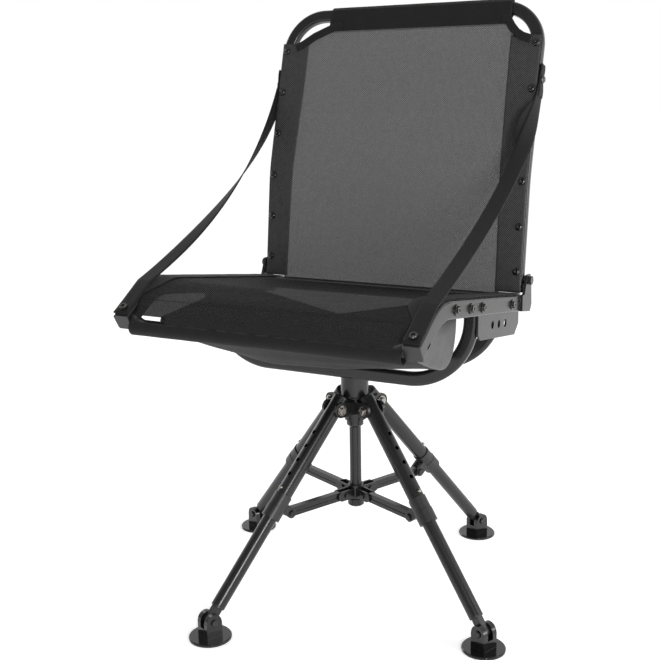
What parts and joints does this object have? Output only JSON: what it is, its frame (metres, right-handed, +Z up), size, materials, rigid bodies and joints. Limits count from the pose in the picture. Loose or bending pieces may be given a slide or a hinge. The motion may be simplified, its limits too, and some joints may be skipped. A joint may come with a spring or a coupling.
{
  "type": "folding swivel chair",
  "caption": "Folding swivel blind chair: mesh seat and backrest with support straps, on a swivel over a folding base with telescopic legs and pivoting foot pads.",
  "frame": {"origin": "on the floor, on the swivel axis", "axes": "+Z up along the swivel axis, -Y towards the seat's front, +X to the sitter's left"},
  "size_m": [0.6014, 0.6029, 0.9491],
  "materials": {
    "black_frame": "semi-gloss powder coat",
    "black_plastic": "moulded satin",
    "foot_plastic": "glossy moulded",
    "zinc_hardware": "zinc plated",
    "black_hardware": "black oxide, semi-gloss",
    "seat_mesh": "woven mesh",
    "back_mesh": "woven mesh",
    "pouch_felt": "napped cloth",
    "webbing": "flat woven webbing"
  },
  "bodies": {
    "hub": {"hub_casting": "black_frame", "hub_bolts": "zinc_hardware", "centre_post": "black_frame", "swivel_spindle": "zinc_hardware", "swivel_bearings": "black_plastic", "spindle_nut": "zinc_hardware"},
    "cross": {"spider": "black_frame"},
    "leg_1": {"upper_leg_1": "black_frame", "leg_cap_1": "black_plastic", "leg_collar_1": "black_plastic"},
    "brace_1": {"strut_1": "black_frame"},
    "inner_leg_1": {"lower_leg_1": "black_frame", "foot_knuckle_1": "black_plastic"},
    "button_1": {"snap_button_1": "zinc_hardware"},
    "pad_1": {"foot_1": "foot_plastic"},
    "leg_2": {"upper_leg_2": "black_frame", "leg_cap_2": "black_plastic", "leg_collar_2": "black_plastic"},
    "brace_2": {"strut_2": "black_frame"},
    "inner_leg_2": {"lower_leg_2": "black_frame", "foot_knuckle_2": "black_plastic"},
    "button_2": {"snap_button_2": "zinc_hardware"},
    "pad_2": {"foot_2": "foot_plastic"},
    "leg_3": {"upper_leg_3": "black_frame", "leg_cap_3": "black_plastic", "leg_collar_3": "black_plastic"},
    "brace_3": {"strut_3": "black_frame"},
    "inner_leg_3": {"lower_leg_3": "black_frame", "foot_knuckle_3": "black_plastic"},
    "button_3": {"snap_button_3": "zinc_hardware"},
    "pad_3": {"foot_3": "foot_plastic"},
    "leg_4": {"upper_leg_4": "black_frame", "leg_cap_4": "black_plastic", "leg_collar_4": "black_plastic"},
    "brace_4": {"strut_4": "black_frame"},
    "inner_leg_4": {"lower_leg_4": "black_frame", "foot_knuckle_4": "black_plastic"},
    "button_4": {"snap_button_4": "zinc_hardware"},
    "pad_4": {"foot_4": "foot_plastic"},
    "seat": {"swivel_housing": "black_frame", "swivel_plate": "black_frame", "rail_left": "black_frame", "rail_right": "black_frame", "rail_end_caps": "black_plastic", "front_tube": "black_frame", "rear_crossbar": "black_frame", "cradle_tube_front": "black_frame", "cradle_tube_rear": "black_frame", "mount_plates": "black_frame", "hinge_brackets": "black_frame", "seat_screws": "black_hardware", "seat_fabric": "seat_mesh", "under_seat_pouch": "pouch_felt", "strap_left": "webbing", "strap_right": "webbing"},
    "backrest": {"back_frame": "black_frame", "back_fabric": "back_mesh", "back_screws": "black_hardware", "hinge_bolts": "black_hardware", "strap_bolts": "black_hardware"}
  },
  "joints": [
    {"name": "seat_swivel", "type": "hinge", "parent": "hub", "child": "seat", "pos_m": [0, 0, 0.36], "axis": [0, 0, 1], "continuous": true},
    {"name": "backrest_fold", "type": "hinge", "parent": "seat", "child": "backrest", "pos_m": [0, 0.1395, 0.5115], "axis": [1, 0, 0], "range_deg": [0, 88], "deforming": ["strap_left", "strap_right"]},
    {"name": "cross_slide", "type": "slide", "parent": "hub", "child": "cross", "axis": [0, 0, 1], "range_m": [0, 0.08033]},
    {"name": "leg_fold_1", "type": "hinge", "parent": "hub", "child": "leg_1", "pos_m": [-0.01708, -0.03837, 0.314], "axis": [0.9135, -0.4067, 0], "range_deg": [0, 26]},
    {"name": "strut_swing_1", "type": "hinge", "parent": "leg_1", "child": "brace_1", "pos_m": [-0.05659, -0.12709, 0.16241], "axis": [0.9135, -0.4067, 0], "range_deg": [0, 45.21]},
    {"name": "leg_slide_1", "type": "slide", "parent": "leg_1", "child": "inner_leg_1", "axis": [0.2683, 0.6026, 0.7516], "range_m": [0, 0.1016], "deforming": ["snap_button_1"]},
    {"name": "snap_button_press_1", "type": "slide", "parent": "inner_leg_1", "child": "button_1", "axis": [0.3057, 0.6866, -0.6596], "range_m": [0, 0.0052], "stiffness_N_per_m": 800},
    {"name": "foot_tilt_1", "type": "hinge", "parent": "inner_leg_1", "child": "pad_1", "pos_m": [-0.11917, -0.26767, 0.028], "axis": [0.9135, -0.4067, 0], "range_deg": [-40, 40]},
    {"name": "leg_fold_2", "type": "hinge", "parent": "hub", "child": "leg_2", "pos_m": [0.03837, -0.01708, 0.314], "axis": [0.4067, 0.9135, 0], "range_deg": [0, 26]},
    {"name": "strut_swing_2", "type": "hinge", "parent": "leg_2", "child": "brace_2", "pos_m": [0.12709, -0.05659, 0.16241], "axis": [0.4067, 0.9135, 0], "range_deg": [0, 45.21]},
    {"name": "leg_slide_2", "type": "slide", "parent": "leg_2", "child": "inner_leg_2", "axis": [-0.6026, 0.2683, 0.7516], "range_m": [0, 0.1016], "deforming": ["snap_button_2"]},
    {"name": "snap_button_press_2", "type": "slide", "parent": "inner_leg_2", "child": "button_2", "axis": [-0.6866, 0.3057, -0.6596], "range_m": [0, 0.0052], "stiffness_N_per_m": 800},
    {"name": "foot_tilt_2", "type": "hinge", "parent": "inner_leg_2", "child": "pad_2", "pos_m": [0.26767, -0.11917, 0.028], "axis": [0.4067, 0.9135, 0], "range_deg": [-40, 40]},
    {"name": "leg_fold_3", "type": "hinge", "parent": "hub", "child": "leg_3", "pos_m": [0.01708, 0.03837, 0.314], "axis": [-0.9135, 0.4067, 0], "range_deg": [0, 26]},
    {"name": "strut_swing_3", "type": "hinge", "parent": "leg_3", "child": "brace_3", "pos_m": [0.05659, 0.12709, 0.16241], "axis": [-0.9135, 0.4067, 0], "range_deg": [0, 45.21]},
    {"name": "leg_slide_3", "type": "slide", "parent": "leg_3", "child": "inner_leg_3", "axis": [-0.2683, -0.6026, 0.7516], "range_m": [0, 0.1016], "deforming": ["snap_button_3"]},
    {"name": "snap_button_press_3", "type": "slide", "parent": "inner_leg_3", "child": "button_3", "axis": [-0.3057, -0.6866, -0.6596], "range_m": [0, 0.0052], "stiffness_N_per_m": 800},
    {"name": "foot_tilt_3", "type": "hinge", "parent": "inner_leg_3", "child": "pad_3", "pos_m": [0.11917, 0.26767, 0.028], "axis": [-0.9135, 0.4067, 0], "range_deg": [-40, 40]},
    {"name": "leg_fold_4", "type": "hinge", "parent": "hub", "child": "leg_4", "pos_m": [-0.03837, 0.01708, 0.314], "axis": [-0.4067, -0.9135, 0], "range_deg": [0, 26]},
    {"name": "strut_swing_4", "type": "hinge", "parent": "leg_4", "child": "brace_4", "pos_m": [-0.12709, 0.05659, 0.16241], "axis": [-0.4067, -0.9135, 0], "range_deg": [0, 45.21]},
    {"name": "leg_slide_4", "type": "slide", "parent": "leg_4", "child": "inner_leg_4", "axis": [0.6026, -0.2683, 0.7516], "range_m": [0, 0.1016], "deforming": ["snap_button_4"]},
    {"name": "snap_button_press_4", "type": "slide", "parent": "inner_leg_4", "child": "button_4", "axis": [0.6866, -0.3057, -0.6596], "range_m": [0, 0.0052], "stiffness_N_per_m": 800},
    {"name": "foot_tilt_4", "type": "hinge", "parent": "inner_leg_4", "child": "pad_4", "pos_m": [-0.26767, 0.11917, 0.028], "axis": [-0.4067, -0.9135, 0], "range_deg": [-40, 40]}
  ],
  "couplings": [
    {"joint": "strut_swing_1", "follows": "leg_fold_1", "ratio": 1.7385},
    {"joint": "leg_fold_2", "follows": "leg_fold_1", "ratio": 1},
    {"joint": "strut_swing_2", "follows": "leg_fold_1", "ratio": 1.7385},
    {"joint": "leg_fold_3", "follows": "leg_fold_1", "ratio": 1},
    {"joint": "strut_swing_3", "follows": "leg_fold_1", "ratio": 1.7385},
    {"joint": "leg_fold_4", "follows": "leg_fold_1", "ratio": 1},
    {"joint": "strut_swing_4", "follows": "leg_fold_1", "ratio": 1.7385},
    {"joint": "cross_slide", "follows": "leg_fold_1", "m_per_rad": 0.17658}
  ]
}
